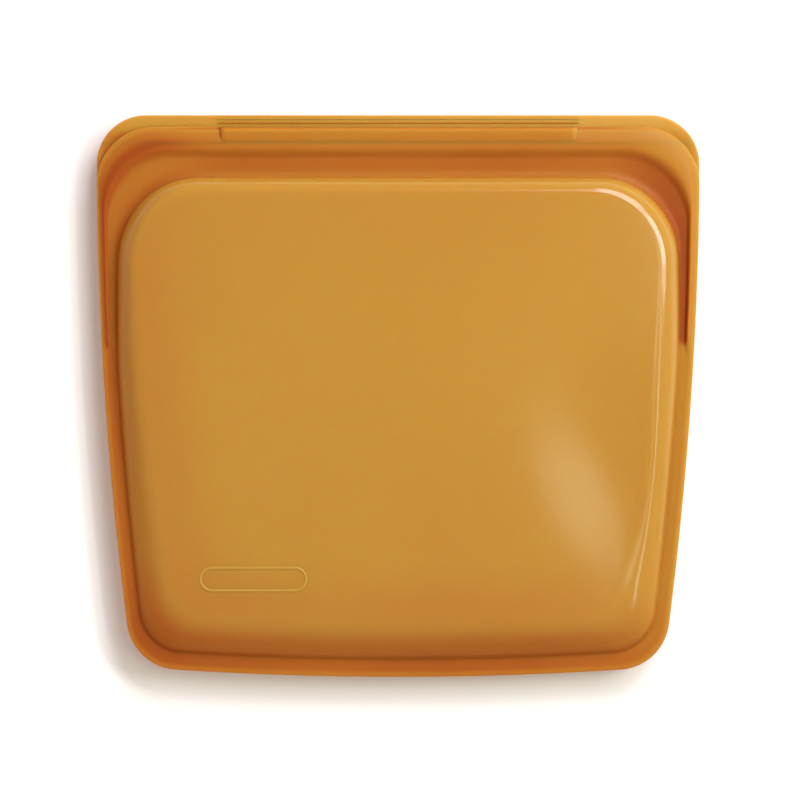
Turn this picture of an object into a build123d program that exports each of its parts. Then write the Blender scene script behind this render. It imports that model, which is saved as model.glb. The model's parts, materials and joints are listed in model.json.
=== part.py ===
from build123d import *
import math
import os

# Reusable silicone bag, lying on its back: +Y towards the mouth, +Z up through
# its thickness, origin at the centre of the face it rests on. Millimetres.

# Outline of the bag
rim_middle = 92.45        # half the width at y = 0
rim_taper = 0.0671        # how fast the sides spread towards the mouth
rim_bulge = 0.000421      # how much the sides curve outwards
mouth_y = 88.6            # edge of the back lip
bottom_y = -88.6          # lowest point of the bowed bottom edge
bottom_bow = 0.00046      # rise of the bottom edge towards its corners
bottom_corner_x = 83.5
back_corner_radius = 15.5
front_lip_y = 84.8        # edge of the front lip, short of the back one
front_corner_radius = 18.0
rim_bottom_radius = 16.5

# Layers through the thickness
bag_thickness = 20.0
middle_z = bag_thickness / 2
layer_gap = 0.6           # between the two flanges
wall = 1.4
front_inner_z = middle_z + layer_gap / 2
front_outer_z = front_inner_z + wall
back_inner_z = middle_z - layer_gap / 2
back_outer_z = back_inner_z - wall

# Dished pouch in each wall
flange_side = 4.9
flange_bottom = 6.1
pouch_top_y = 68.8
pouch_top_radius = 25.0
pouch_bottom_radius = 14.0
roll_side = 6.0           # width of the edge roll at roll_side_y, from flange to panel
roll_side_y = 55.0
roll_lean = 0.06          # the roll widens by this towards the bottom
roll_top = 5.5
roll_bottom = 14.0
dome_sections = 5
panel_top_radius = 21.0
panel_bottom_radius = 15.0
dome_clearance = 0.3      # back pouch inside its flange's opening

# Mouth hinge and the bending stretches
hinge_y = 16.1
hinge_z = front_inner_z + wall / 2
fold_reach = 7.0          # each side of the hinge line
bend_bead = 0.7           # round bead on a bend line
bead_clearance = 0.3
back_fold_z = 3.5         # the back roll is stiff below, and folds above

# Press seal
seal_y = 76.2
seal_side = 2.7           # seal's centre line inside the rim
seal_radius = 23.0
channel_width = 3.4
channel_bottom_z = 6.2
channel_floor = 0.8
slot_width = 1.8
rib_width = 1.2
rib_tip_gap = 0.4
stop_length = 3.0

# Lips, rail, grips and mark
lip_line_y = 79.6
lip_thickness = 2.0
rail_width = 2.3
rail_height = 0.6
grip_half_length = 57.0
grip_bar_width = 3.6
grip_bar_y = 82.5
grip_bar_height = 0.7
ridge_width = 0.7
ridge_height = 0.5
ridge_rows_y = (86.1, 87.5)
mark_centre = (-45.4, -57.5)
mark_length = 34.0
mark_width = 8.0
mark_line = 0.8
mark_height = 0.4

far = 300.0


def side_x(y, lean=0.0):
    return rim_middle + rim_taper * y - rim_bulge * y * y - lean * (roll_side_y - y)


def bottom_edge_y(x):
    return bottom_y + bottom_bow * x * x


# One closed outline in the shape of the bag, set in from the rim
def outline(side_inset, top_y, bottom_inset, top_radius, bottom_radius, lean=0.0):
    low_y = bottom_edge_y(bottom_corner_x) + bottom_inset
    mid_y = (top_y + low_y) / 2
    top_x = side_x(top_y, lean) - side_inset
    mid_x = side_x(mid_y, lean) - side_inset
    low_x = side_x(low_y, lean) - side_inset
    edges = [
        Line((-top_x, top_y), (top_x, top_y)),
        ThreePointArc((top_x, top_y), (mid_x, mid_y), (low_x, low_y)),
        ThreePointArc((low_x, low_y), (0, bottom_y + bottom_inset), (-low_x, low_y)),
        ThreePointArc((-low_x, low_y), (-mid_x, mid_y), (-top_x, top_y)),
    ]
    face = make_face(edges)
    top_corners = face.vertices().sort_by(Axis.Y)[-2:]
    face = fillet(top_corners, top_radius)
    sharp = [v for v in face.vertices() if abs(v.Y - low_y) < 0.01 and abs(abs(v.X) - low_x) < 0.01]
    return fillet(sharp, bottom_radius)


def back_rim():
    return outline(0, mouth_y, 0, back_corner_radius, rim_bottom_radius)


def front_rim():
    return outline(0, front_lip_y, 0, front_corner_radius, rim_bottom_radius)


def pouch_outline(inset=0.0):
    return outline(
        flange_side + inset,
        pouch_top_y - inset,
        flange_bottom + inset,
        pouch_top_radius - inset,
        pouch_bottom_radius - inset,
    )


def slab(face, low_z, high_z):
    return extrude(Pos(0, 0, low_z) * face, high_z - low_z)


def y_range(low_y, high_y):
    return Pos(0, (low_y + high_y) / 2, 0) * Box(2 * far, high_y - low_y, 2 * far)


def z_range(low_z, high_z):
    return Pos(0, 0, (low_z + high_z) / 2) * Box(2 * far, 2 * far, high_z - low_z)


def bend_rod(y, z, radius):
    return Pos(0, y, z) * Rot(0, 90, 0) * Cylinder(radius, 2 * far)


# Solid pouch: quarter-ellipse roll from its base outline to a flat panel
def pouch_solid(inset, base_z, crown_z):
    sections = []
    for step in range(dome_sections):
        angle = math.radians(90 * step / (dome_sections - 1))
        share = 1 - math.cos(angle)
        section = outline(
            flange_side + inset + roll_side * share,
            pouch_top_y - inset - roll_top * share,
            flange_bottom + inset + roll_bottom * share,
            pouch_top_radius - inset - (pouch_top_radius - panel_top_radius) * share,
            pouch_bottom_radius - inset - (pouch_bottom_radius - panel_bottom_radius) * share,
            roll_lean * share,
        )
        height = base_z + (crown_z - base_z) * math.sin(angle)
        sections.append(Pos(0, 0, height) * section)
    return loft(sections)


def front_dome():
    outer = pouch_solid(0, front_inner_z, bag_thickness)
    inner = pouch_solid(wall, front_inner_z, bag_thickness - wall)
    return outer - inner


def back_dome():
    outer = pouch_solid(dome_clearance, back_inner_z, 0)
    inner = pouch_solid(dome_clearance + wall, back_inner_z, wall)
    return outer - inner


# Band along the seal's line, from the hinge line up and over the mouth
def seal_outline(half_width):
    return outline(
        seal_side - half_width,
        seal_y + half_width,
        0,
        seal_radius + half_width,
        rim_bottom_radius,
    )


def seal_band(width, low_z, high_z, low_y, high_y=far):
    ring = seal_outline(width / 2) - seal_outline(-width / 2)
    return slab(ring, low_z, high_z) & y_range(low_y, high_y)


# The flange reaches half a wall into the foot of the dished wall, to join it
def front_flange_ring(side_gap=0.0):
    return front_rim() - pouch_outline(wall / 2 + side_gap)


def front_flange():
    return slab(front_flange_ring(), front_inner_z, front_outer_z)


def back_panel(dome):
    return dome & z_range(-far, back_fold_z)


def back_fold(dome):
    return dome & z_range(back_fold_z, far)


def back_flange():
    plate = slab(back_rim() - pouch_outline(), back_outer_z, back_inner_z)
    plate = plate & y_range(-far, lip_line_y)
    plate = plate - bend_rod(lip_line_y, back_inner_z - wall / 2, bend_bead + bead_clearance)
    return plate - seal_band(channel_width, back_outer_z, back_inner_z, hinge_y - stop_length)


def seal_channel():
    trough = seal_band(channel_width, channel_bottom_z, back_inner_z, hinge_y)
    slot = seal_band(slot_width, channel_bottom_z + channel_floor, back_inner_z, hinge_y)
    return trough - slot


def seal_stop(side):
    block = seal_band(channel_width, channel_bottom_z, back_inner_z, hinge_y - stop_length, hinge_y)
    return block & Pos(side * far, 0, 0) * Box(2 * far, 2 * far, 2 * far)


def edge_bond():
    ring = front_rim() - pouch_outline()
    return slab(ring, back_inner_z, front_inner_z) & y_range(-far, hinge_y - bend_bead - bead_clearance)


def front_wall_lower(dome):
    cove = bend_rod(hinge_y, hinge_z, bend_bead + bead_clearance)
    flange = (front_flange() & y_range(-far, hinge_y)) - cove
    return flange + (dome & y_range(-far, hinge_y - fold_reach))


def front_fold(dome):
    band = dome & y_range(hinge_y - fold_reach, hinge_y + fold_reach - bead_clearance)
    band = band - front_flange()
    clear_side = slab(front_flange_ring(dome_clearance), 0, front_outer_z + dome_clearance)
    return band - (clear_side & y_range(hinge_y - bend_bead - bead_clearance, far))


def front_wall_upper(dome):
    bead = slab(front_flange_ring(), 0, bag_thickness) & bend_rod(hinge_y, hinge_z, bend_bead)
    flange = front_flange() & y_range(hinge_y, lip_line_y)
    flange = flange - bend_rod(lip_line_y, hinge_z, bend_bead + bead_clearance)
    rail = slab(front_rim() - offset(front_rim(), -rail_width), front_outer_z, front_outer_z + rail_height)
    rail = rail & y_range(hinge_y + fold_reach, lip_line_y - 2 * bend_bead)
    return flange + bead + rail + (dome & y_range(hinge_y + fold_reach, far))


def seal_rib():
    tip_z = channel_bottom_z + channel_floor + rib_tip_gap
    return seal_band(rib_width, tip_z, front_inner_z, hinge_y + bend_bead + bead_clearance)


def front_lip_strip():
    plate = slab(front_rim(), front_inner_z, front_inner_z + lip_thickness)
    root = slab(front_rim(), front_inner_z, front_outer_z) & y_range(lip_line_y, far)
    thick = plate & y_range(lip_line_y + 2 * bend_bead, far)
    bead = slab(front_rim(), 0, bag_thickness) & bend_rod(lip_line_y, hinge_z, bend_bead)
    return root + thick + bead


def front_grip_bar():
    low_z = front_inner_z + lip_thickness
    bar = SlotOverall(2 * grip_half_length, grip_bar_width)
    return slab(Pos(0, grip_bar_y) * bar, low_z, low_z + grip_bar_height)


def back_lip_strip():
    plate = slab(back_rim(), back_outer_z, back_inner_z) & y_range(lip_line_y, far)
    rod = bend_rod(lip_line_y, back_inner_z - wall / 2, bend_bead)
    return plate + (slab(back_rim(), 0, bag_thickness) & rod)


def back_grip_ridges():
    ridge = SlotOverall(2 * grip_half_length, ridge_width)
    rows = [slab(Pos(0, y) * ridge, back_inner_z, back_inner_z + ridge_height) for y in ridge_rows_y]
    return Compound(children=[row.solid() for row in rows])


def blank_mark():
    outer = SlotOverall(mark_length, mark_width)
    inner = SlotOverall(mark_length - 2 * mark_line, mark_width - 2 * mark_line)
    return slab(Pos(*mark_centre) * (outer - inner), bag_thickness, bag_thickness + mark_height)


def make_parts():
    upper_dome = front_dome()
    lower_dome = back_dome()
    return {
        "back_panel": back_panel(lower_dome),
        "back_fold": back_fold(lower_dome),
        "back_flange": back_flange(),
        "seal_channel": seal_channel(),
        "left_seal_stop": seal_stop(-1),
        "right_seal_stop": seal_stop(1),
        "edge_bond": edge_bond(),
        "front_wall_lower": front_wall_lower(upper_dome),
        "front_fold": front_fold(upper_dome),
        "blank_mark": blank_mark(),
        "back_lip_strip": back_lip_strip(),
        "back_grip_ridges": back_grip_ridges(),
        "front_wall_upper": front_wall_upper(upper_dome),
        "seal_rib": seal_rib(),
        "front_lip_strip": front_lip_strip(),
        "front_grip_bar": front_grip_bar(),
    }


os.makedirs("parts", exist_ok=True)
for node, shape in make_parts().items():
    export_step(shape, f"parts/{node}.step")
    print(node, round(shape.volume, 1))
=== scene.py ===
import json
import math

import bmesh
import bpy
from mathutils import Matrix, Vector, noise


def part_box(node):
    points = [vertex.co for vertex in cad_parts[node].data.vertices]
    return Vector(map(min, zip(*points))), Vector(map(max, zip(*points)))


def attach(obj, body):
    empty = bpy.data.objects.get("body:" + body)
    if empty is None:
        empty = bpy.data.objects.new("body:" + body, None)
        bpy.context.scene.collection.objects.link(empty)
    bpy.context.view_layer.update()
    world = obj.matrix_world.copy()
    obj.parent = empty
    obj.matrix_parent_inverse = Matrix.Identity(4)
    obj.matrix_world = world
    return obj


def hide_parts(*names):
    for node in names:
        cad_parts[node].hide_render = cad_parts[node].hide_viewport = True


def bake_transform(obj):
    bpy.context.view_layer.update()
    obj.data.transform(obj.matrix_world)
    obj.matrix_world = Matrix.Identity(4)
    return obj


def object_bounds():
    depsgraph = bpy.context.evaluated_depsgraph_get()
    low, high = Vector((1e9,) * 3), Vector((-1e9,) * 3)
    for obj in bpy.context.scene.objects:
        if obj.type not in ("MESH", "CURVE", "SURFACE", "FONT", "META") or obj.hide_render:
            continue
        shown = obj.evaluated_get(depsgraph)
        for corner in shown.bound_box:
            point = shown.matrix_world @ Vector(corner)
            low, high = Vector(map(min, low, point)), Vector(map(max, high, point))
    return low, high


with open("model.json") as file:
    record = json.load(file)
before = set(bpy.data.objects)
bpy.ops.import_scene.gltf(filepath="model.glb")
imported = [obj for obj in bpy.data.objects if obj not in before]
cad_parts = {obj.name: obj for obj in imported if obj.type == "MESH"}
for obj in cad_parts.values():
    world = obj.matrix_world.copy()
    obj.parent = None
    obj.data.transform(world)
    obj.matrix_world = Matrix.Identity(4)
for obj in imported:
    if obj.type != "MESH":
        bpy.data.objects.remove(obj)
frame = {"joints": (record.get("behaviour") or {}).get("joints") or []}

scene = bpy.context.scene
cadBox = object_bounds()
mm = 0.001

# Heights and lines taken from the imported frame
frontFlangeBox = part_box("front_wall_lower")
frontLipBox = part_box("front_lip_strip")
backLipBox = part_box("back_lip_strip")
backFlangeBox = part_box("back_flange")
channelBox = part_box("seal_channel")
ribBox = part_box("seal_rib")
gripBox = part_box("front_grip_bar")
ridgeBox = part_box("back_grip_ridges")
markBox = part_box("blank_mark")
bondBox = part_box("edge_bond")
stopBoxes = {side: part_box(side + "_seal_stop") for side in ("left", "right")}
hinges = {j["name"]: Vector(j.get("pos_m") or (0, 0, 0)) for j in frame["joints"]}

frontInnerZ = frontFlangeBox[0].z
frontCrownZ = frontFlangeBox[1].z
backInnerZ = backFlangeBox[1].z
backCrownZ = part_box("back_panel")[0].z
hingeY = hinges["mouth_open"].y
lipLineY = hinges["front_lip_pull"].y

# The bag's outline: half width = middle + taper * y - bulge * y * y
bagOutline = {
    "middle": 92.45 * mm,
    "taper": 0.0671,
    "bulge": 0.421,
    "bottomY": cadBox[0][1],
    "bottomBow": 0.46,
    "mouthY": backLipBox[1].y,
    "frontLipY": frontLipBox[1].y,
    "backCorner": 15.5 * mm,
    "frontCorner": 18 * mm,
    "lowCorner": 16.5 * mm,
}

# The dished pouch in each wall
pouchShape = {
    "flangeSide": 4.9 * mm,
    "flangeBottom": 6.1 * mm,
    "topY": 68.8 * mm,
    "topCorner": 25 * mm,
    "lowCorner": 14 * mm,
    "rollSide": 6.0 * mm,      # at the top of the pouch's sides
    "rollLean": 0.06,          # the roll widens towards the bottom
    "rollTop": 5.5 * mm,
    "rollBottom": 14 * mm,
    "panelTopCorner": 21 * mm,
    "panelLowCorner": 15 * mm,
    "panelCentreY": -7 * mm,
    "neck": 2.0 * mm,          # the pouch narrows by this on each side, towards the mouth
    "neckFrom": 5 * mm,
    "neckTo": 62 * mm,
    "wall": 1.4 * mm,
    "crownSag": 0.35 * mm,
    "shoulder": 2.0,           # 2 is a quarter ellipse, more is squarer
}

leanFromY = 55 * mm

# How many points go round a ring: half bottom, low corner, side, top corner, half top
ringPoints = {"bottom": 26, "lowCorner": 22, "side": 64, "topCorner": 28, "top": 44}


def smoothstep(low, high, value):
    share = min(max((value - low) / (high - low), 0), 1)
    return share * share * (3 - 2 * share)


def lerp(a, b, share):
    return a + (b - a) * share


def hump(value, centre, width):
    return math.exp(-(((value - centre) / width) ** 2))


def sideX(y, lean=0.0):
    lag = lean * (leanFromY - y)
    return bagOutline["middle"] + bagOutline["taper"] * y - bagOutline["bulge"] * y * y - lag


def sideSlope(y, lean=0.0):
    return bagOutline["taper"] - 2 * bagOutline["bulge"] * y + lean


def bottomEdgeY(x):
    return bagOutline["bottomY"] + bagOutline["bottomBow"] * x * x


def bottomSlope(x):
    return 2 * bagOutline["bottomBow"] * x


cornerRounds = {"top": 12, "low": 30}   # each round brings the corner's centre closer to its true place


# Where a corner of that radius touches the side and the top or bottom edge
def topCornerCentre(sideInset, topY, radius, lean):
    cy = topY - radius
    footY = cy
    for step in range(cornerRounds["top"]):
        slope = sideSlope(footY, lean)
        length = math.hypot(1, slope)
        footY = cy - radius * slope / length
    cx = sideX(footY, lean) - sideInset - radius / length
    return cx, cy, math.atan2(-slope, 1)


def lowCornerCentre(sideInset, bottomInset, radius, lean):
    cy = bagOutline["bottomY"] + bottomInset + radius
    for step in range(cornerRounds["low"]):
        slope = sideSlope(cy, lean)
        length = math.hypot(1, slope)
        footY = cy - radius * slope / length
        cx = sideX(footY, lean) - sideInset - radius / length
        lowSlope = bottomSlope(cx)
        lowLength = math.hypot(1, lowSlope)
        footX = cx + radius * lowSlope / lowLength
        cy = bottomEdgeY(footX) + bottomInset + radius / lowLength
    return cx, cy, math.atan(lowSlope) - math.pi / 2, math.atan2(-slope, 1)


# One closed ring of (x, y) in the bag's shape, from the middle of the bottom edge, anticlockwise
def outlineRing(sideInset, topY, bottomInset, topRadius, lowRadius, lean=0.0):
    tx, ty, topStart = topCornerCentre(sideInset, topY, topRadius, lean)
    lx, ly, lowStart, lowEnd = lowCornerCentre(sideInset, bottomInset, lowRadius, lean)
    half = []
    startX = lx + lowRadius * math.cos(lowStart)
    for step in range(ringPoints["bottom"]):
        x = startX * step / ringPoints["bottom"]
        half.append((x, bottomEdgeY(x) + bottomInset))
    for step in range(ringPoints["lowCorner"]):
        angle = lerp(lowStart, lowEnd, step / ringPoints["lowCorner"])
        half.append((lx + lowRadius * math.cos(angle), ly + lowRadius * math.sin(angle)))
    sideStart = ly + lowRadius * math.sin(lowEnd)
    sideEnd = ty + topRadius * math.sin(topStart)
    for step in range(ringPoints["side"]):
        y = lerp(sideStart, sideEnd, step / ringPoints["side"])
        half.append((sideX(y, lean) - sideInset, y))
    for step in range(ringPoints["topCorner"]):
        angle = lerp(topStart, math.pi / 2, step / ringPoints["topCorner"])
        half.append((tx + topRadius * math.cos(angle), ty + topRadius * math.sin(angle)))
    for step in range(ringPoints["top"]):
        half.append((tx * (1 - step / ringPoints["top"]), topY))
    mirrored = [(-x, y) for x, y in reversed(half[1:])]
    return half + [(0, topY)] + mirrored


# A ring between the rim (share 0) and the pouch's crease (share 1)
def flangeRing(share, topEdgeY, topRadius, edgeInset=0.0):
    return outlineRing(
        lerp(edgeInset, pouchShape["flangeSide"], share),
        lerp(topEdgeY - edgeInset, pouchShape["topY"], share),
        lerp(edgeInset, pouchShape["flangeBottom"], share),
        lerp(topRadius - edgeInset, pouchShape["topCorner"], share),
        lerp(bagOutline["lowCorner"] - edgeInset, pouchShape["lowCorner"], share),
    )


# A ring on the edge roll, from the crease (0) to the panel (1), set in further for the inner skin
def rollRing(share, inset=0.0):
    return outlineRing(
        pouchShape["flangeSide"] + inset + pouchShape["rollSide"] * share,
        pouchShape["topY"] - inset - pouchShape["rollTop"] * share,
        pouchShape["flangeBottom"] + inset + pouchShape["rollBottom"] * share,
        lerp(pouchShape["topCorner"] - inset, pouchShape["panelTopCorner"] - inset, share),
        lerp(pouchShape["lowCorner"] - inset, pouchShape["panelLowCorner"] - inset, share),
        pouchShape["rollLean"] * share,
    )


# Draws the pouch in towards the mouth, and leaves the rim where it is
def neckedX(x, y, flangeShare):
    narrow = pouchShape["neck"] * smoothstep(pouchShape["neckFrom"], pouchShape["neckTo"], y)
    return x * (1 - flangeShare ** 2 * narrow / bagOutline["middle"])


def shrunkRing(ring, share):
    centre = pouchShape["panelCentreY"]
    return [(x * share, centre + (y - centre) * share) for x, y in ring]


wallRings = {
    "rim": 5,
    "flange": 34,
    "roll": 36,
    "panel": 22,
    "innerFlange": 10,
    "innerRoll": 18,
    "innerPanel": 22,
}


# The lattice of one wall, still flat: each point has its place and the shares the tree below raises it by
def wallLattice(topEdgeY, topRadius):
    half = pouchShape["wall"] / 2
    rings = []
    for step in range(wallRings["rim"]):
        angle = math.pi / 2 * step / wallRings["rim"]
        inset = half * (1 - math.cos(angle))
        ring = flangeRing(0, topEdgeY, topRadius, inset)
        rings.append([(x, y, 0.0, 0.0, 0.0, 0.5 + 0.5 * math.sin(angle)) for x, y in ring])
    for step in range(wallRings["flange"] + 1):
        share = step / wallRings["flange"]
        ring = flangeRing(share, topEdgeY, topRadius, half)
        rings.append([(x, y, share, 0.0, 0.0, 1.0) for x, y in ring])
    for step in range(1, wallRings["roll"] + 1):
        share = 1 - math.cos(math.pi / 2 * step / wallRings["roll"])
        rings.append([(x, y, 1.0, share, 0.0, 1.0) for x, y in rollRing(share)])
    panelEdge = rollRing(1)
    for step in range(1, wallRings["panel"]):
        share = 1 - step / wallRings["panel"]
        rings.append([(x, y, 1.0, 1.0, 1 - share, 1.0) for x, y in shrunkRing(panelEdge, share)])
    rings.append([(0, pouchShape["panelCentreY"], 1.0, 1.0, 1.0, 1.0)])
    inner = []
    for step in range(1, wallRings["rim"] + 1):
        angle = math.pi / 2 * step / wallRings["rim"]
        inset = half * (1 - math.cos(angle))
        ring = flangeRing(0, topEdgeY, topRadius, inset)
        inner.append([(x, y, 0.0, 0.0, 0.0, 0.5 - 0.5 * math.sin(angle)) for x, y in ring])
    inset = pouchShape["wall"]
    for step in range(1, wallRings["innerFlange"]):
        share = step / wallRings["innerFlange"]
        outerRing = flangeRing(share, topEdgeY, topRadius, half)
        innerRing = rollRing(0, inset)
        ring = [(lerp(a[0], b[0], share * share * 0.2), lerp(a[1], b[1], share * share * 0.2))
                for a, b in zip(outerRing, innerRing)]
        inner.append([(x, y, share, 0.0, 0.0, 0.0) for x, y in ring])
    for step in range(wallRings["innerRoll"] + 1):
        share = 1 - math.cos(math.pi / 2 * step / wallRings["innerRoll"])
        inner.append([(x, y, 1.0, share, 0.0, 0.0) for x, y in rollRing(share, inset)])
    innerEdge = rollRing(1, inset)
    for step in range(1, wallRings["innerPanel"]):
        share = 1 - step / wallRings["innerPanel"]
        inner.append([(x, y, 1.0, 1.0, 1 - share, 0.0) for x, y in shrunkRing(innerEdge, share)])
    inner.append([(0, pouchShape["panelCentreY"], 1.0, 1.0, 1.0, 0.0)])
    return rings, inner


def bridge(faces, ringA, ringB, flip=False):
    count = len(ringA)
    for i in range(count):
        j = (i + 1) % count
        if len(ringB) == 1:
            face = (ringA[i], ringA[j], ringB[0])
        else:
            face = (ringA[i], ringA[j], ringB[j], ringB[i])
        faces.append(tuple(reversed(face)) if flip else face)


def latticeObject(name, topEdgeY, topRadius, relief):
    outer, inner = wallLattice(topEdgeY, topRadius)
    points, faces = [], []
    marks = {"flangeShare": [], "rollShare": [], "panelShare": [], "skin": [], "relief": []}
    indexRings = []
    for ring in outer + inner:
        indexRings.append(list(range(len(points), len(points) + len(ring))))
        for x, y, flangeShare, rollShare, panelShare, skin in ring:
            points.append((neckedX(x, y, flangeShare), y, 0.0))
            marks["flangeShare"].append(flangeShare)
            marks["rollShare"].append(rollShare)
            marks["panelShare"].append(panelShare)
            marks["skin"].append(skin)
            marks["relief"].append(relief(x, y, flangeShare, rollShare, skin))
    outerIndex = indexRings[:len(outer)]
    innerIndex = [outerIndex[0]] + indexRings[len(outer):]
    for a, b in zip(outerIndex, outerIndex[1:]):
        bridge(faces, a, b)
    for a, b in zip(innerIndex, innerIndex[1:]):
        bridge(faces, a, b, flip=True)
    mesh = bpy.data.meshes.new(name)
    mesh.from_pydata(points, [], faces)
    for key, values in marks.items():
        mesh.attributes.new(key, "FLOAT", "POINT").data.foreach_set("value", values)
    piece = bpy.data.objects.new(name, mesh)
    scene.collection.objects.link(piece)
    return piece


# Geometry Nodes helpers
def newTree(name, inputs):
    tree = bpy.data.node_groups.new(name, "GeometryNodeTree")
    tree.interface.new_socket("Geometry", in_out="INPUT", socket_type="NodeSocketGeometry")
    tree.interface.new_socket("Geometry", in_out="OUTPUT", socket_type="NodeSocketGeometry")
    for label, kind, value in inputs:
        socket = tree.interface.new_socket(label, in_out="INPUT", socket_type=kind)
        if value is not None:
            socket.default_value = value
    start = tree.nodes.new("NodeGroupInput")
    end = tree.nodes.new("NodeGroupOutput")
    return tree, start, end


def mathNode(tree, operation, first, second=None):
    node = tree.nodes.new("ShaderNodeMath")
    node.operation = operation
    for socket, value in zip(node.inputs, (first, second)):
        if value is None:
            continue
        if isinstance(value, (int, float)):
            socket.default_value = value
        else:
            tree.links.new(value, socket)
    return node.outputs[0]


def namedValue(tree, label):
    node = tree.nodes.new("GeometryNodeInputNamedAttribute")
    node.data_type = "FLOAT"
    node.inputs["Name"].default_value = label
    return node.outputs["Attribute"]


# Runs a tree on an object and leaves a plain mesh
def runTree(piece, tree, values):
    modifier = piece.modifiers.new(tree.name, "NODES")
    modifier.node_group = tree
    identifiers = {s.name: s.identifier for s in tree.interface.items_tree
                   if s.item_type == "SOCKET" and s.in_out == "INPUT"}
    for label, value in values.items():
        modifier[identifiers[label]] = value
    piece.update_tag()
    depsgraph = bpy.context.evaluated_depsgraph_get()
    depsgraph.update()
    made = bpy.data.meshes.new_from_object(piece.evaluated_get(depsgraph), depsgraph=depsgraph)
    made.name = piece.name
    piece.modifiers.remove(modifier)
    piece.data = made
    return piece


# Raises a flat lattice into a dished wall: a rounded roll, a crown that stands a little, fine relief
def dishTree():
    tree, start, end = newTree("raiseDish", [
        ("Foot height", "NodeSocketFloat", 0.0),
        ("Wall", "NodeSocketFloat", 0.0014),
        ("Depth", "NodeSocketFloat", 0.009),
        ("Crown rise", "NodeSocketFloat", 0.0),
        ("Shoulder", "NodeSocketFloat", 2.0),
        ("Facing", "NodeSocketFloat", 1.0),
        ("Material", "NodeSocketMaterial", None),
    ])
    roll = namedValue(tree, "rollShare")
    panel = namedValue(tree, "panelShare")
    skin = namedValue(tree, "skin")
    relief = namedValue(tree, "relief")
    left = mathNode(tree, "SUBTRACT", 1.0, roll)
    fall = mathNode(tree, "SUBTRACT", 1.0, mathNode(tree, "POWER", left, start.outputs["Shoulder"]))
    arc = mathNode(tree, "POWER", fall, mathNode(tree, "DIVIDE", 1.0, start.outputs["Shoulder"]))
    # depth of the outer skin is the full depth; of the inner skin, less one wall
    innerDepth = mathNode(tree, "SUBTRACT", start.outputs["Depth"], start.outputs["Wall"])
    lift = mathNode(tree, "MULTIPLY", arc, innerDepth)
    thickness = mathNode(tree, "MULTIPLY", skin, start.outputs["Wall"])
    edge = mathNode(tree, "SUBTRACT", 1.0, panel)
    swell = mathNode(tree, "SUBTRACT", 1.0, mathNode(tree, "POWER", edge, 4.0))
    rise = mathNode(tree, "MULTIPLY", swell, start.outputs["Crown rise"])
    formed = mathNode(tree, "ADD", lift, thickness)
    height = mathNode(tree, "ADD", formed, mathNode(tree, "ADD", rise, relief))
    height = mathNode(tree, "MULTIPLY", height, start.outputs["Facing"])
    height = mathNode(tree, "ADD", height, start.outputs["Foot height"])
    offset = tree.nodes.new("ShaderNodeCombineXYZ")
    tree.links.new(height, offset.inputs["Z"])
    place = tree.nodes.new("GeometryNodeSetPosition")
    tree.links.new(start.outputs["Geometry"], place.inputs["Geometry"])
    tree.links.new(offset.outputs[0], place.inputs["Offset"])
    real = tree.nodes.new("GeometryNodeRealizeInstances")
    tree.links.new(place.outputs[0], real.inputs[0])
    paint = tree.nodes.new("GeometryNodeSetMaterial")
    tree.links.new(real.outputs[0], paint.inputs["Geometry"])
    tree.links.new(start.outputs["Material"], paint.inputs["Material"])
    tree.links.new(paint.outputs[0], end.inputs[0])
    return tree


# Carries a rounded strip along a path
def stripTree():
    tree, start, end = newTree("roundedStrip", [
        ("Width", "NodeSocketFloat", 0.001),
        ("Height", "NodeSocketFloat", 0.001),
        ("Rounding", "NodeSocketFloat", 0.0003),
        ("Material", "NodeSocketMaterial", None),
    ])
    path = tree.nodes.new("GeometryNodeMeshToCurve")
    tree.links.new(start.outputs["Geometry"], path.inputs[0])
    upright = tree.nodes.new("GeometryNodeSetCurveNormal")
    upright.mode = "Z_UP"
    tree.links.new(path.outputs[0], upright.inputs[0])
    section = tree.nodes.new("GeometryNodeCurvePrimitiveQuadrilateral")
    tree.links.new(start.outputs["Width"], section.inputs["Width"])
    tree.links.new(start.outputs["Height"], section.inputs["Height"])
    rounded = tree.nodes.new("GeometryNodeFilletCurve")
    rounded.mode = "POLY"
    rounded.inputs["Count"].default_value = 4
    tree.links.new(section.outputs[0], rounded.inputs["Curve"])
    tree.links.new(start.outputs["Rounding"], rounded.inputs["Radius"])
    sweep = tree.nodes.new("GeometryNodeCurveToMesh")
    sweep.inputs["Fill Caps"].default_value = True
    tree.links.new(upright.outputs[0], sweep.inputs["Curve"])
    tree.links.new(rounded.outputs[0], sweep.inputs["Profile Curve"])
    real = tree.nodes.new("GeometryNodeRealizeInstances")
    tree.links.new(sweep.outputs[0], real.inputs[0])
    paint = tree.nodes.new("GeometryNodeSetMaterial")
    tree.links.new(real.outputs[0], paint.inputs["Geometry"])
    tree.links.new(start.outputs["Material"], paint.inputs["Material"])
    tree.links.new(paint.outputs[0], end.inputs[0])
    return tree


# Silicone: one colour that deepens where the bag is thick and pales where it is thin. It also carries painted
# shade in creases, the seal's groove and the lower left, and painted light at the upper right
siliconeLook = {
    "thinColour": (0.55, 0.33, 0.07),
    "colour": (0.475, 0.246, 0.03),
    "richColour": (0.42, 0.13, 0.016),
    "deepColour": (0.27, 0.032, 0.007),
    "sealColour": (0.41, 0.13, 0.008),
    "sealRichColour": (0.38, 0.1, 0.005),
    "ior": 1.41,
    "mattShine": 0.08,         # specular level of the matt parts, 0.5 on the pouch
    "polish": 0.14,            # roughness of the pouch
    "matt": 0.3,               # and of the rim and header
    "roughnessSpread": 0.04,
    "subsurface": 0.8,
    "bleed": 0.003,
    "bleedColour": (1.0, 0.35, 0.12),
    "cloudScale": 14,
    "cloudShare": 0.03,
    "fineScale": 2600,
    "fineBump": 0.1,
}


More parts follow.
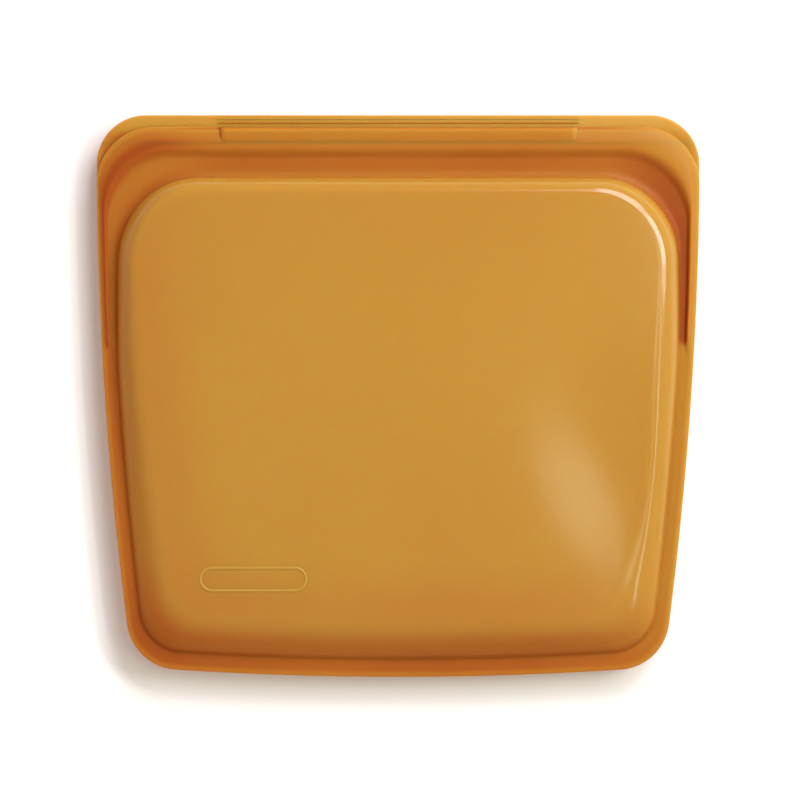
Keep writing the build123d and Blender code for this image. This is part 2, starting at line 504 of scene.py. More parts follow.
def siliconeMaterial(name, thinColour, colour, richColour, subsurface):
    material = bpy.data.materials.new(name)
    material.use_nodes = True
    nodes, links = material.node_tree.nodes, material.node_tree.links
    shader = nodes["Principled BSDF"]
    shader.inputs["Subsurface Weight"].default_value = subsurface
    shader.inputs["Subsurface Radius"].default_value = siliconeLook["bleedColour"]
    shader.inputs["Subsurface Scale"].default_value = siliconeLook["bleed"]
    shader.inputs["IOR"].default_value = siliconeLook["ior"]
    place = nodes.new("ShaderNodeTexCoord")
    cloud = nodes.new("ShaderNodeTexNoise")
    cloud.inputs["Scale"].default_value = siliconeLook["cloudScale"]
    cloud.inputs["Detail"].default_value = 3
    links.new(place.outputs["Object"], cloud.inputs["Vector"])
    # the depth attribute carries painted light and shade as well as thickness. It runs from -1, pale, through
    # 0 to 1, deep, and the ramp from 0 to 1
    depth = nodes.new("ShaderNodeAttribute")
    depth.attribute_name = "depth"
    half = nodes.new("ShaderNodeMath")
    half.operation = "MULTIPLY_ADD"
    half.inputs[1].default_value = 0.5
    half.inputs[2].default_value = 0.5
    links.new(depth.outputs["Fac"], half.inputs[0])
    vary = nodes.new("ShaderNodeMapRange")
    vary.inputs["From Min"].default_value = 0.3
    vary.inputs["From Max"].default_value = 0.7
    vary.inputs["To Min"].default_value = -siliconeLook["cloudShare"]
    vary.inputs["To Max"].default_value = siliconeLook["cloudShare"]
    links.new(cloud.outputs["Fac"], vary.inputs["Value"])
    share = nodes.new("ShaderNodeMath")
    share.operation = "ADD"
    share.use_clamp = True
    links.new(half.outputs[0], share.inputs[0])
    links.new(vary.outputs[0], share.inputs[1])
    ramp = nodes.new("ShaderNodeValToRGB")
    ramp.color_ramp.elements[0].color = (*thinColour, 1)
    ramp.color_ramp.elements[1].color = (*siliconeLook["deepColour"], 1)
    ramp.color_ramp.elements.new(0.5).color = (*colour, 1)
    ramp.color_ramp.elements.new(0.8).color = (*richColour, 1)
    links.new(share.outputs[0], ramp.inputs["Fac"])
    links.new(ramp.outputs["Color"], shader.inputs["Base Color"])
    # the pouch is polished by the mould, and the rim is matt
    matt = nodes.new("ShaderNodeAttribute")
    matt.attribute_name = "matt"
    finish = nodes.new("ShaderNodeMapRange")
    finish.inputs["To Min"].default_value = siliconeLook["polish"] - siliconeLook["roughnessSpread"] / 2
    finish.inputs["To Max"].default_value = siliconeLook["matt"] - siliconeLook["roughnessSpread"] / 2
    links.new(matt.outputs["Fac"], finish.inputs["Value"])
    smear = nodes.new("ShaderNodeMath")
    smear.operation = "MULTIPLY_ADD"
    smear.inputs[1].default_value = siliconeLook["roughnessSpread"]
    links.new(cloud.outputs["Fac"], smear.inputs[0])
    links.new(finish.outputs[0], smear.inputs[2])
    links.new(smear.outputs[0], shader.inputs["Roughness"])
    shine = nodes.new("ShaderNodeMapRange")
    shine.inputs["To Min"].default_value = 0.5
    shine.inputs["To Max"].default_value = siliconeLook["mattShine"]
    links.new(matt.outputs["Fac"], shine.inputs["Value"])
    links.new(shine.outputs[0], shader.inputs["Specular IOR Level"])
    fine = nodes.new("ShaderNodeTexNoise")
    fine.inputs["Scale"].default_value = siliconeLook["fineScale"]
    fine.inputs["Detail"].default_value = 2
    links.new(place.outputs["Object"], fine.inputs["Vector"])
    bump = nodes.new("ShaderNodeBump")
    bump.inputs["Strength"].default_value = siliconeLook["fineBump"]
    bump.inputs["Distance"].default_value = 0.0001
    links.new(fine.outputs["Fac"], bump.inputs["Height"])
    links.new(bump.outputs[0], shader.inputs["Normal"])
    return material


bagColours = [siliconeLook[key] for key in ("thinColour", "colour", "richColour")]
sealColours = [siliconeLook[key] for key in ("colour", "sealColour", "sealRichColour")]
silicone = siliconeMaterial("amberSilicone", *bagColours, siliconeLook["subsurface"])
# ridges and marks are too narrow for light to spread inside them
raisedSilicone = siliconeMaterial("raisedSilicone", *bagColours, 0)
sealSilicone = siliconeMaterial("sealSilicone", *sealColours, siliconeLook["subsurface"])
print("materials made")


# The seal's ridge and groove in a flange, as shares of the way from the rim to the crease
headerShape = {
    "crest": 0.38,
    "crestHeight": 1.15 * mm,
    "rimDrop": 0.25 * mm,
    "groove": 0.60,
    "grooveDepth": 0.5 * mm,
    "floorDepth": 0.35 * mm,   # at the pouch's crease
    "endFade": 0.7 * mm,
    "lowBead": 0.08 * mm,      # round the bonded rim, below the header
    "coveHeight": 0.9 * mm,    # where the flange turns up into the pouch
    "coveWidth": 0.16,         # as a share of the flange
}


def headerHeight(share):
    crest, groove = headerShape["crest"], headerShape["groove"]
    if share < crest:
        climb = math.sin(math.pi / 2 * share / crest)
        return lerp(-headerShape["rimDrop"], headerShape["crestHeight"], climb)
    if share < groove:
        return lerp(headerShape["crestHeight"], -headerShape["grooveDepth"], smoothstep(crest, groove, share))
    return lerp(-headerShape["grooveDepth"], -headerShape["floorDepth"], smoothstep(groove, 1.0, share))


def headerReach(y):
    return smoothstep(hingeY - headerShape["endFade"], hingeY + headerShape["endFade"], y)


# Slow unevenness, with a long shallow dent low on the right and a small one on the left
crownShape = {
    "waveHeight": 0.2 * mm,
    "waveScale": 16,
    "footBead": 0.12 * mm,
    "slant": 0.35,             # how much the roll is a straight slope at the lower left
    "slantFrom": 0.42,
    "slantTo": 0.92,
    "facetTop": 0.86,          # the stretch of the roll that catches the light at the upper right
    "facetSlope": math.tan(math.radians(18)),
}
crownDents = (
    {"at": (0.0688, -0.0244), "turn": -66, "long": 33 * mm, "wide": 20.5 * mm, "deep": 1.5 * mm},
    {"at": (-0.066, 0.026), "turn": 85, "long": 15 * mm, "wide": 7 * mm, "deep": 0.35 * mm},
)


def crownUnevenness(x, y):
    height = crownShape["waveHeight"] * noise.noise(Vector((x, y, 0.2)) * crownShape["waveScale"])
    for dent in crownDents:
        dx, dy = x - dent["at"][0], y - dent["at"][1]
        turn = math.radians(dent["turn"])
        along = dx * math.cos(turn) + dy * math.sin(turn)
        across = -dx * math.sin(turn) + dy * math.cos(turn)
        height -= dent["deep"] * hump(along, 0, dent["long"]) * hump(across, 0, dent["wide"])
    return height


# Which way the wall faces there: 1 to the upper right, -1 to the lower left
def facingUpRight(x, y):
    across = (x / bagOutline["middle"]) ** 5
    along = ((y - pouchShape["panelCentreY"]) / (82 * mm)) ** 5
    return (across + along) / max(math.hypot(across, along), 1e-9) / math.sqrt(2)


def flangeRelief(x, y, flangeShare, headerPart):
    header = headerReach(y)
    low = headerShape["lowBead"] * hump(flangeShare, 0.2, 0.18)
    return header * headerPart + (1 - header) * low


def arcShare(rollShare):
    return math.sqrt(max(0, 1 - (1 - rollShare) ** 2))


# A straight slope that rounds over into the crown, as a share of the pouch's depth
def slantShare(rollShare):
    low, high = crownShape["slantFrom"], crownShape["slantTo"]
    steep = 2 / (low + high)
    if rollShare < low:
        return steep * rollShare
    past = min(rollShare, high) - low
    return steep * (low + past - past * past / (2 * (high - low)))


# How far the roll differs from a plain quarter ellipse
def rollChange(x, y, rollShare, depth):
    facing = facingUpRight(x, y)
    slant = crownShape["slant"] * smoothstep(0.2, -0.4, facing)
    change = slant * (slantShare(rollShare) - arcShare(rollShare))
    top = crownShape["facetTop"]
    if rollShare < top:
        width = pouchShape["rollSide"] + pouchShape["rollLean"] * max(0, leanFromY - y)
        width = lerp(width, 6.5 * mm, smoothstep(42 * mm, 56 * mm, y))
        width = lerp(width, pouchShape["rollTop"], smoothstep(72 * mm, 56 * mm, x))
        line = arcShare(top) - crownShape["facetSlope"] * width * (top - rollShare) / depth
        catch = smoothstep(0.712, 0.76, facing) * smoothstep(52 * mm, 66 * mm, x)
        change += catch * min(0, line - arcShare(rollShare))
    return change * depth


# What the wall stands above a sharp crease: the flange curves up to the pouch's foot
def coveRise(flangeShare, wallHeight):
    cove = headerShape["coveHeight"]
    if flangeShare < 1:
        return cove * max(0, 1 - (1 - flangeShare) / headerShape["coveWidth"]) ** 2
    return cove * math.exp(-wallHeight / cove)


def frontRelief(x, y, flangeShare, rollShare, skin):
    if rollShare == 0:
        return skin * (coveRise(flangeShare, 0) + flangeRelief(x, y, flangeShare, headerHeight(flangeShare)))
    depth = frontCrownZ - frontInnerZ - pouchShape["crownSag"] - pouchShape["wall"]
    change = rollChange(x, y, rollShare, depth)
    floor = headerReach(y) * headerHeight(1.0) * (1 - smoothstep(0.0, 0.03, rollShare))
    bead = crownShape["footBead"] * max(0, facingUpRight(x, y)) * hump(rollShare, 0.09, 0.06)
    outerOnly = floor + bead + coveRise(1, depth * arcShare(rollShare) + change)
    return change + crownUnevenness(x, y) * smoothstep(0.3, 1.0, rollShare) + skin * outerOnly


backBead = {"height": 0.2 * mm, "from": 0.3, "to": 0.4}   # the outer part of the back flange stands this much


def backRelief(x, y, flangeShare, rollShare, skin):
    if rollShare == 0:
        header = backBead["height"] * (1 - smoothstep(backBead["from"], backBead["to"], flangeShare))
        return skin * (coveRise(flangeShare, 0) + flangeRelief(x, y, flangeShare, header))
    return skin * coveRise(1, (backInnerZ - backCrownZ) * arcShare(rollShare))


# How deep in colour a point is, from -1, thin and pale, to 1, deep. Over the header it runs through
# these tones from the rim to the pouch. Elsewhere it is deeper at the lower left than the upper right,
# which is painted shade at the lower left and painted light at the upper right
# Middle of the header: a painted shadow line at the lip's edge, a painted highlight just inside it, deeper
# over the thick seal, with painted shade in its groove
headerTones = (
    (0.0, 0.5), (0.02, -0.05), (0.1, 0.3), (0.3, 0.42), (0.45, 0.42), (0.56, 0.62), (0.75, 0.6), (1.0, 0.42),
)
# Towards the left side the header is deeper, as painted shade
leftHeaderTones = (
    (0.0, 0.2), (0.1, 0.55), (0.3, 0.86), (0.45, 0.75), (0.6, 0.45), (0.75, 0.42), (1.0, 0.7),
)
# Towards the right side a paler rim and crest, as painted light, and painted shade in the groove
rightHeaderTones = (
    (0.0, -0.1), (0.1, 0.2), (0.3, 0.2), (0.42, 0.35), (0.54, 0.8), (0.8, 0.82), (1.0, 0.7),
)
# Tones of the zones. Each Lean makes its zone deeper at the lower left and paler at the upper right, as
# painted shade and painted light
toneShape = {
    "rim": 0.15,
    "rimLean": 0.3,
    "flange": 0.42,
    "flangeLean": 0.38,
    "crease": 0.5,
    "creaseLean": 0.25,
    "roll": 0.25,
    "rollLean": 0.42,
    "crownEdgeShade": 0.12,
    "rightDeep": 0.04,
    "lipPale": -0.35,          # the back lip's left end
    "lipPalest": -0.75,        # its middle and right end
    "betweenRidges": 0.3,
}


def toneAt(tones, share):
    for (shareA, toneA), (shareB, toneB) in zip(tones, tones[1:]):
        if share <= shareB:
            return lerp(toneA, toneB, smoothstep(shareA, shareB, share))
    return tones[-1][1]


# Blends the header's tones: painted shade towards the left, painted light and groove shade towards the right,
# and a little deeper lower down on the right
def headerTone(x, y, share):
    tone = toneAt(headerTones, share)
    tone = lerp(tone, toneAt(leftHeaderTones, share), smoothstep(-50 * mm, -82 * mm, x))
    right = toneAt(rightHeaderTones, share) + toneShape["rightDeep"] * smoothstep(64 * mm, 45 * mm, y)
    return lerp(tone, right, smoothstep(62 * mm, 88 * mm, x))


def frontDepth(x, y, flangeShare, rollShare, panelShare):
    header = headerReach(y)
    facing = facingUpRight(x, y)
    # painted shade in the pouch's crease, deeper at the lower left
    crease = toneShape["crease"] - toneShape["creaseLean"] * facing
    if rollShare == 0:
        top = headerTone(x, y, flangeShare)
        # the rim and flange are painted deeper at the lower left, as shade, and paler at the upper right, as
        # light
        rim = toneShape["rim"] - toneShape["rimLean"] * facing
        flange = toneShape["flange"] - toneShape["flangeLean"] * facing
        low = lerp(rim, flange, smoothstep(0.0, 0.3, flangeShare))
        tone = lerp(low, top, header)
        return lerp(tone, max(crease, tone), hump(flangeShare, 1.0, 0.2))
    # painted shade on the roll at the lower left, weaker up the left side, and painted light on it at the
    # upper right
    roll = toneShape["roll"] - toneShape["rollLean"] * facing
    if x < 0:
        roll *= lerp(0.6, 1, smoothstep(-45 * mm, -72 * mm, y))
    tone = roll * (1 - smoothstep(0.25, 0.85, rollShare))
    # painted shade round the crown's edge, strongest at the lower left
    edge = smoothstep(0.5, 1.0, rollShare) * (1 - smoothstep(0.0, 0.3, panelShare))
    tone += toneShape["crownEdgeShade"] * (1 - facing) * edge
    return lerp(tone, max(crease, tone), hump(rollShare, 0.0, 0.07))


# The back lip is paler beyond the front one, where it is a single thin layer, and painted palest towards
# the right as painted light. It is deeper along the span of the ridges
def backDepth(x, y, flangeShare, rollShare, panelShare):
    tone = frontDepth(x, y, flangeShare, rollShare, panelShare)
    lip = lerp(toneShape["lipPale"], toneShape["lipPalest"], smoothstep(-70 * mm, 20 * mm, x))
    lip += toneShape["betweenRidges"] * smoothstep(1 * mm, -1 * mm, abs(x) - ridgeBox[1].x)
    return lerp(tone, lip, smoothstep(82 * mm, 86 * mm, y))


def markDepth(piece, depth):
    mesh = piece.data
    marks = {key: mesh.attributes[key].data for key in ("flangeShare", "rollShare", "panelShare")}
    values, matts = [], []
    for i, v in enumerate(mesh.vertices):
        values.append(depth(v.co.x, v.co.y, *(marks[key][i].value for key in marks)))
        low = 0.5 - 0.5 * facingUpRight(v.co.x, v.co.y)
        matts.append(1 - smoothstep(0.03, lerp(0.05, 0.9, low), marks["rollShare"][i].value))
    mesh.attributes.new("depth", "FLOAT", "POINT").data.foreach_set("value", values)
    mesh.attributes.new("matt", "FLOAT", "POINT").data.foreach_set("value", matts)


# Depth from each point's place, and one finish all over
def pieceDepth(piece, depth, matt=1.0):
    mesh = piece.data
    values = [depth(v.co.x, v.co.y) for v in mesh.vertices]
    mesh.attributes.new("depth", "FLOAT", "POINT").data.foreach_set("value", values)
    mesh.attributes.new("matt", "FLOAT", "POINT").data.foreach_set("value", [matt] * len(values))


# Cuts a wall along the lip's bend line: keeps the pouch's side, or the lip's
def cutAtLip(piece, keepLip, name):
    mesh = piece.data.copy()
    mesh.name = name
    work = bmesh.new()
    work.from_mesh(mesh)
    cut = bmesh.ops.bisect_plane(
        work,
        geom=work.verts[:] + work.edges[:] + work.faces[:],
        dist=1e-7,
        plane_co=(0, lipLineY, 0),
        plane_no=(0, 1, 0),
        clear_inner=keepLip,
        clear_outer=not keepLip,
    )
    rimEdges = [e for e in cut["geom_cut"] if isinstance(e, bmesh.types.BMEdge)]
    bmesh.ops.contextual_create(work, geom=rimEdges)
    work.to_mesh(mesh)
    work.free()
    half = bpy.data.objects.new(name, mesh)
    scene.collection.objects.link(half)
    return half


def finishMesh(piece, sharpAngle=45):
    mesh = piece.data
    mesh.shade_smooth()
    mesh.set_sharp_from_angle(angle=math.radians(sharpAngle))


def removePiece(piece):
    bpy.data.objects.remove(piece, do_unlink=True)


dish = dishTree()
frontSheet = latticeObject("frontSheet", bagOutline["frontLipY"], bagOutline["frontCorner"], frontRelief)
runTree(frontSheet, dish, {
    "Foot height": frontInnerZ,
    "Wall": pouchShape["wall"],
    "Depth": frontCrownZ - frontInnerZ - pouchShape["crownSag"],
    "Crown rise": pouchShape["crownSag"],
    "Shoulder": pouchShape["shoulder"],
    "Facing": 1.0,
    "Material": silicone,
})
markDepth(frontSheet, frontDepth)
backSheet = latticeObject("backSheet", bagOutline["mouthY"], bagOutline["backCorner"], backRelief)
runTree(backSheet, dish, {
    "Foot height": backInnerZ,
    "Wall": pouchShape["wall"],
    "Depth": backInnerZ - backCrownZ,
    "Crown rise": 0.0,
    "Shoulder": pouchShape["shoulder"],
    "Facing": -1.0,
    "Material": silicone,
})
backSheet.data.flip_normals()
markDepth(backSheet, backDepth)

frontWall = cutAtLip(frontSheet, False, "frontWall")
frontLip = cutAtLip(frontSheet, True, "frontLip")
backWall = cutAtLip(backSheet, False, "backWall")
backLip = cutAtLip(backSheet, True, "backLip")
for sheet in (frontSheet, backSheet):
    removePiece(sheet)
for piece in (frontWall, frontLip, backWall, backLip):
    finishMesh(piece)
print("walls and lips made")


# A path of points as an object made only of edges
def pathObject(name, points, closed=False):
    edges = [(i, i + 1) for i in range(len(points) - 1)]
    if closed:
        edges.append((len(points) - 1, 0))
    mesh = bpy.data.meshes.new(name)
    mesh.from_pydata(points, edges, [])
    piece = bpy.data.objects.new(name, mesh)
    scene.collection.objects.link(piece)
    return piece


strip = stripTree()


def stripPiece(name, points, width, height, rounding, material, closed=False):
    piece = pathObject(name, points, closed)
    runTree(piece, strip, {
        "Width": width,
        "Height": height,
        "Rounding": rounding,
        "Material": material,
    })
    work = bmesh.new()
    work.from_mesh(piece.data)
    bmesh.ops.remove_doubles(work, verts=work.verts, dist=1e-6)
    bmesh.ops.recalc_face_normals(work, faces=work.faces)
    work.to_mesh(piece.data)
    work.free()
    finishMesh(piece)
    return piece


# The seal's line runs up one side, over the mouth and down the other side
sealShape = {
    "sideInset": 2.7 * mm,
    "y": 76.2 * mm,
    "corner": 23 * mm,
    "channelWidth": 3.4 * mm,
    "slotWidth": 1.8 * mm,
    "ribWidth": 1.1 * mm,
    "bulbWidth": 1.4 * mm,
    "bulbHeight": 1.1 * mm,
    "channelFloor": 0.8 * mm,
    "stemRounding": 0.35 * mm,
    "bulbRounding": 0.5 * mm,
    "wallRounding": 0.25 * mm,
    "floorRounding": 0.35 * mm,
    "stopRounding": 0.5 * mm,
}


def sealPath(z, fromY, sideways=0.0):
    ring = outlineRing(sealShape["sideInset"] - sideways, sealShape["y"] + sideways, 0,
                       sealShape["corner"] + sideways, bagOutline["lowCorner"])
    points = [(x, y, z) for x, y in ring if y > fromY + 0.2 * mm]
    first = (sideX(fromY) - sealShape["sideInset"] + sideways, fromY, z)
    last = (-first[0], fromY, z)
    return [first] + points + [last]


def joinPieces(name, pieces):
    chosen = {"active_object": pieces[0], "selected_objects": pieces, "selected_editable_objects": pieces}
    with bpy.context.temp_override(**chosen):
        bpy.ops.object.join()
    pieces[0].name = name
    pieces[0].data.name = name
    return pieces[0]


# A thin stem with a wider bulb round its tip
def makeSealRib():
    low, high = ribBox
    stemPath = sealPath((low.z + high.z) / 2, low.y)
    bulbPath = sealPath(low.z + sealShape["bulbHeight"] / 2, low.y)
    stem = stripPiece("ribStem", stemPath, sealShape["ribWidth"], high.z - low.z,
                      sealShape["stemRounding"], sealSilicone)
    bulb = stripPiece("ribBulb", bulbPath, sealShape["bulbWidth"], sealShape["bulbHeight"],
                      sealShape["bulbRounding"], sealSilicone)
    return joinPieces("sealRib", [stem, bulb])


# A floor and two walls under the back flange. The flange's sheet is whole, so it covers the slot
def makeSealChannel():
    low, high = channelBox
    lipWidth = (sealShape["channelWidth"] - sealShape["slotWidth"]) / 2
    shift = (sealShape["slotWidth"] + lipWidth) / 2
    floorPath = sealPath(low.z + sealShape["channelFloor"] / 2, low.y)
    strips = [stripPiece("channelFloor", floorPath, sealShape["channelWidth"], sealShape["channelFloor"],
                         sealShape["floorRounding"], sealSilicone)]
    for side in (-1, 1):
        wallPath = sealPath((low.z + high.z) / 2, low.y, side * shift)
        strips.append(stripPiece("channelWall", wallPath, lipWidth, high.z - low.z,
                                 sealShape["wallRounding"], sealSilicone))
    return joinPieces("sealChannel", strips)


def makeSealStops():
    stops = []
    for side in ("left", "right"):
        low, high = stopBoxes[side]
        x, z = (low.x + high.x) / 2, (low.z + high.z) / 2
        stops.append(stripPiece(side + "SealStop", [(x, low.y, z), (x, high.y, z)], sealShape["channelWidth"],
                                high.z - low.z, sealShape["stopRounding"], sealSilicone))
    return stops


bondShape = {"share": 0.5, "narrower": 0.8 * mm, "rounding": 0.25 * mm}


# The layer between the two flanges, along the middle of their width
def makeEdgeBond():
    ring = flangeRing(bondShape["share"], bagOutline["frontLipY"], bagOutline["frontCorner"])
    z = (bondBox[0].z + bondBox[1].z) / 2
    right = [(x, y, z) for x, y in ring[:len(ring) // 2] if y < bondBox[1].y]
    left = [(-x, y, z) for x, y, z in reversed(right[1:])]
    width = pouchShape["flangeSide"] - bondShape["narrower"]
    height = bondBox[1].z - bondBox[0].z
    return stripPiece("edgeBond", left + right, width, height, bondShape["rounding"], sealSilicone)


# Half circles at both ends and straight sides: the outline of a slot
def slotPath(centreX, centreY, length, width, perEnd=14):
    radius = width / 2
    reach = length / 2 - radius
    points = []
    for end in (1, -1):
        for step in range(perEnd + 1):
            angle = -math.pi / 2 + math.pi * step / perEnd
            points.append((centreX + end * (reach + radius * math.cos(angle)),
                           centreY + end * radius * math.sin(angle)))
    return points


# A soft raised pad: steep along the lip's edge and at its round ends, fading towards the seal
gripPad = {
    "endRadius": 2.0 * mm,
    "root": 1.1 * mm,          # how far its underside is inside the lip
    "sink": 0.25 * mm,
    "pastEdge": 0.35 * mm,     # further out than the bar in the frame
    "pastSeal": 0.55 * mm,     # and further towards the seal
    "steepShare": 0.12,        # of its width, along the lip's edge
    "endWidth": 0.55,
    "crowdEnds": 0.35,         # less than 1 puts more columns near the ends
    "acrossSteps": 16,
    "alongSteps": 120,
    # painted shade at the pad's left end and a painted highlight at its right end
    "endLightAndShade": 0.6,
    "endLightAndShadeWidth": 1.5 * mm,
}


def makeGripBar():
    low, high = gripBox
    halfLength, level = high.x, frontLipTop(low.y - gripPad["pastSeal"])
    width = high.y - low.y + gripPad["pastEdge"] + gripPad["pastSeal"]
    points, faces = [], []
    columns = gripPad["alongSteps"] + 1
    rows = gripPad["acrossSteps"] + 1
    for i in range(columns):
        turn = math.pi * i / gripPad["alongSteps"]
        x = -halfLength * math.copysign(abs(math.cos(turn)) ** gripPad["crowdEnds"], math.cos(turn))
        nearEnd = max(0.0, (abs(x) - (halfLength - gripPad["endRadius"])) / gripPad["endRadius"])
        endShape = smoothstep(1, 0, nearEnd)
        for j in range(rows):
            share = j / gripPad["acrossSteps"]
            # share 0 is the lip's edge, 1 the side towards the seal, level with the seal's ridge
            profile = min(1.0, share / gripPad["steepShare"]) ** 0.5 * endShape
            y = high.y + gripPad["pastEdge"] - width * share * lerp(gripPad["endWidth"], 1, endShape)
            points.append((x, y, lerp(frontLipTop(y) - gripPad["sink"], level, profile)))
    base = len(points)
    points += [(x, y, frontLipTop(y) - gripPad["root"]) for x, y, z in points]
    for i in range(columns - 1):
        for j in range(rows - 1):
            a = i * rows + j
            faces.append((a, a + 1, a + rows + 1, a + rows))
            faces.append((base + a, base + a + rows, base + a + rows + 1, base + a + 1))
    border = [i * rows for i in range(columns)]
    border += [(columns - 1) * rows + j for j in range(1, rows)]
    border += [i * rows + rows - 1 for i in reversed(range(columns - 1))]
    border += [j for j in reversed(range(1, rows - 1))]
    for a, b in zip(border, border[1:] + border[:1]):
        faces.append((a, b, base + b, base + a))
    mesh = bpy.data.meshes.new("frontGripBar")
    mesh.from_pydata(points, [], faces)
    mesh.materials.append(silicone)
    piece = bpy.data.objects.new("frontGripBar", mesh)
    scene.collection.objects.link(piece)
    work = bmesh.new()
    work.from_mesh(mesh)
    bmesh.ops.remove_doubles(work, verts=work.verts, dist=1e-6)
    bmesh.ops.recalc_face_normals(work, faces=work.faces)
    work.to_mesh(mesh)
    work.free()
    finishMesh(piece, 60)
    return piece


# The pad's left end is painted deeper than the lip, as painted shade, and its right end paler, as a painted
# highlight
def gripBarLightAndShadeTone(x, y):
    ends = hump(x, gripBox[0].x, gripPad["endLightAndShadeWidth"]) - hump(x, gripBox[1].x, gripPad["endLightAndShadeWidth"])
    return headerTone(x, y, frontLipShare(y)) + gripPad["endLightAndShade"] * ends


# The front lip's face at y, on the straight part of the mouth: share of the way to the pouch, and height
def frontLipShare(y):
    start = bagOutline["frontLipY"] - pouchShape["wall"] / 2
    return max((start - y) / (start - pouchShape["topY"]), 0)


def frontLipTop(y):
    return frontInnerZ + pouchShape["wall"] + headerHeight(frontLipShare(y))


ridgeShape = {
    "inset": 0.35 * mm,        # of a ridge's middle, from the edge of the pair
    "width": 0.5 * mm,
    "stand": 0.04 * mm,        # above the back lip's bead
    "thick": 1.3 * mm,         # most of it is inside the lip
    "rounding": 0.2 * mm,
    "halfSteps": 30,
    # the inner ridge is painted deeper, as a shade line beside the front lip's edge, and the outer one paler
    "innerShadeTone": 0.55,
    "outerTone": -0.3,
}


def makeGripRidges():
    low, high = ridgeBox
    steps = ridgeShape["halfSteps"]
    z = low.z + backBead["height"] + ridgeShape["stand"] - ridgeShape["thick"] / 2
    ridges = []
    for y in (low.y + ridgeShape["inset"], high.y - ridgeShape["inset"]):
        points = [(high.x * (step / steps - 1), y, z) for step in range(2 * steps + 1)]
        ridges.append(stripPiece("ridge", points, ridgeShape["width"], ridgeShape["thick"],
                                 ridgeShape["rounding"], raisedSilicone))
    return joinPieces("backGripRidges", ridges)


# The ridges' tone: deeper at the inner ridge, as painted shade, and paler at the outer one
def ridgeTone(x, y):
    across = smoothstep(ridgeBox[0].y, ridgeBox[1].y, y)
    return lerp(ridgeShape["innerShadeTone"], ridgeShape["outerTone"], across)


blankMarkShape = {
    "line": 0.9 * mm,
    "stand": 0.25 * mm,
    "thick": 1.5 * mm,         # most of it is inside the wall
    "rounding": 0.35 * mm,
    "tone": -0.15,
    "matt": 0.2,
}


# A plain, empty, rounded outline that lies on the crown
def makeBlankMark():
    low, high = markBox
    line, thick = blankMarkShape["line"], blankMarkShape["thick"]
    middle = (low + high) / 2
    outline = slotPath(middle.x, middle.y, high.x - low.x - line, high.y - low.y - line)
    # drop the outline onto the front wall's face
    points = []
    for x, y in outline:
        above = Vector((x, y, frontCrownZ + 10 * mm))
        hit, place, normal, index = frontWall.ray_cast(above, Vector((0, 0, -1)))
        points.append((x, y, place.z + blankMarkShape["stand"] - thick / 2))
    return stripPiece("blankMark", points, line, thick, blankMarkShape["rounding"], raisedSilicone,
                      closed=True)


sealRib = makeSealRib()
sealChannel = makeSealChannel()
leftStop, rightStop = makeSealStops()
edgeBond = makeEdgeBond()
frontGripBar = makeGripBar()
backGripRidges = makeGripRidges()
blankMark = makeBlankMark()
for piece in (sealRib, sealChannel, leftStop, rightStop, edgeBond):
    pieceDepth(piece, lambda x, y: 0.3)
pieceDepth(frontGripBar, gripBarLightAndShadeTone)
pieceDepth(backGripRidges, ridgeTone)
pieceDepth(blankMark, lambda x, y: blankMarkShape["tone"], matt=blankMarkShape["matt"])
print("seal, bond, grips and mark made")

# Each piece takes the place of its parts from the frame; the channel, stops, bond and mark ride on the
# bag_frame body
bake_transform(frontWall)
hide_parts("front_wall_lower", "front_fold", "front_wall_upper")
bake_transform(sealRib)
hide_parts("seal_rib")
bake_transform(frontLip)
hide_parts("front_lip_strip")
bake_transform(frontGripBar)
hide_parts("front_grip_bar")
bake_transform(backWall)
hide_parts("back_panel", "back_fold", "back_flange")
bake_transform(backLip)
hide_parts("back_lip_strip")
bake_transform(backGripRidges)
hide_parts("back_grip_ridges")
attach(sealChannel, "bag_frame")
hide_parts("seal_channel")
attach(leftStop, "bag_frame")
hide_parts("left_seal_stop")
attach(rightStop, "bag_frame")
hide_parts("right_seal_stop")
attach(edgeBond, "bag_frame")
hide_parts("edge_bond")
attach(blankMark, "bag_frame")
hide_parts("blank_mark")

# Floor, light and camera
studio = {
    "viewWidth": 252.3 * mm,
    "viewCentre": (0.6 * mm, -1.3 * mm),
    "cameraHeight": 1.6,
    "floorColour": (0.97, 0.97, 0.97, 1),
    "sky": 0.52,
    "skyColour": (1.0, 0.86, 0.8, 1),
    "paleLight": (0.74, 1, 0.72),
    "coolLight": (1, 0.98, 1.08),
    "whiteLight": (1, 1, 1),
    "warmLight": (1, 0.72, 0.5),
    "lightDistance": 1.3,
    "floorReach": 3.0,
    "filmWidth": 36,           # millimetres, as the lens is
}


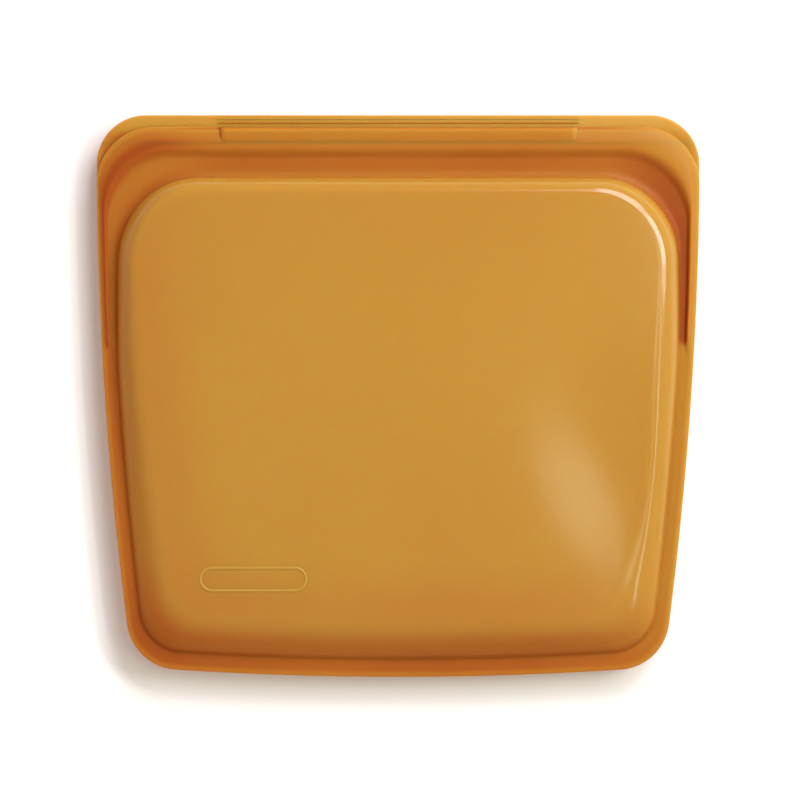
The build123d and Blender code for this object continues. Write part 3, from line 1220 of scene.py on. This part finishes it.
def makeFloor():
    mesh = bpy.data.meshes.new("floor")
    reach = studio["floorReach"]
    corners = [(reach * x, reach * y, 0) for x, y in ((-1, -1), (1, -1), (1, 1), (-1, 1))]
    mesh.from_pydata(corners, [], [(0, 1, 2, 3)])
    floor = bpy.data.objects.new("floor", mesh)
    scene.collection.objects.link(floor)
    paper = bpy.data.materials.new("paperFloor")
    paper.use_nodes = True
    shader = paper.node_tree.nodes["Principled BSDF"]
    shader.inputs["Base Color"].default_value = studio["floorColour"]
    shader.inputs["Roughness"].default_value = 0.9
    mesh.materials.append(paper)


def areaLight(name, place, size, power, colour, target=(0, 0, 0), reflects=True):
    light = bpy.data.lights.new(name, "AREA")
    light.shape = "RECTANGLE"
    light.size, light.size_y = size
    light.energy = power
    light.color = colour
    lamp = bpy.data.objects.new(name, light)
    lamp.visible_glossy = reflects
    lamp.location = place
    lamp.rotation_euler = (Vector(target) - Vector(place)).to_track_quat("-Z", "Y").to_euler()
    scene.collection.objects.link(lamp)


# A place at that compass turn and height angle, in degrees, round the bag
def around(turn, rise):
    turn, rise, distance = math.radians(turn), math.radians(rise), studio["lightDistance"]
    flat = distance * math.cos(rise)
    return flat * math.cos(turn), flat * math.sin(turn), distance * math.sin(rise)


def makeStudio():
    makeFloor()
    world = bpy.data.worlds.new("studioSky")
    world.use_nodes = True
    sky = world.node_tree.nodes["Background"]
    sky.inputs["Color"].default_value = studio["skyColour"]
    sky.inputs["Strength"].default_value = studio["sky"]
    scene.world = world
    # place, size in metres, watts and colour
    areaLight("keySoftbox", around(62, 46), (0.6, 0.45), 10.3, studio["coolLight"])
    areaLight("cornerStrip", around(21, 48), (0.55, 0.16), 6, studio["whiteLight"])
    areaLight("sideStrip", around(3, 60), (0.8, 0.06), 2.2, studio["paleLight"], target=(0, 0, 10 * mm))
    areaLight("topSoftbox", (0.46, 0.1, 1.9), (0.34, 0.34), 1.8, studio["paleLight"])
    areaLight("fillCard", around(222, 28), (0.9, 0.5), 2.4, studio["warmLight"], reflects=False)
    camera = bpy.data.cameras.new("camera")
    camera.sensor_width = studio["filmWidth"]
    camera.clip_end = 20
    distance = studio["cameraHeight"] - frontInnerZ
    camera.lens = studio["filmWidth"] * distance / studio["viewWidth"]
    eye = bpy.data.objects.new("camera", camera)
    eye.location = (*studio["viewCentre"], studio["cameraHeight"])
    scene.collection.objects.link(eye)
    scene.camera = eye
    scene.view_settings.view_transform = "Standard"


makeStudio()
print("studio made")
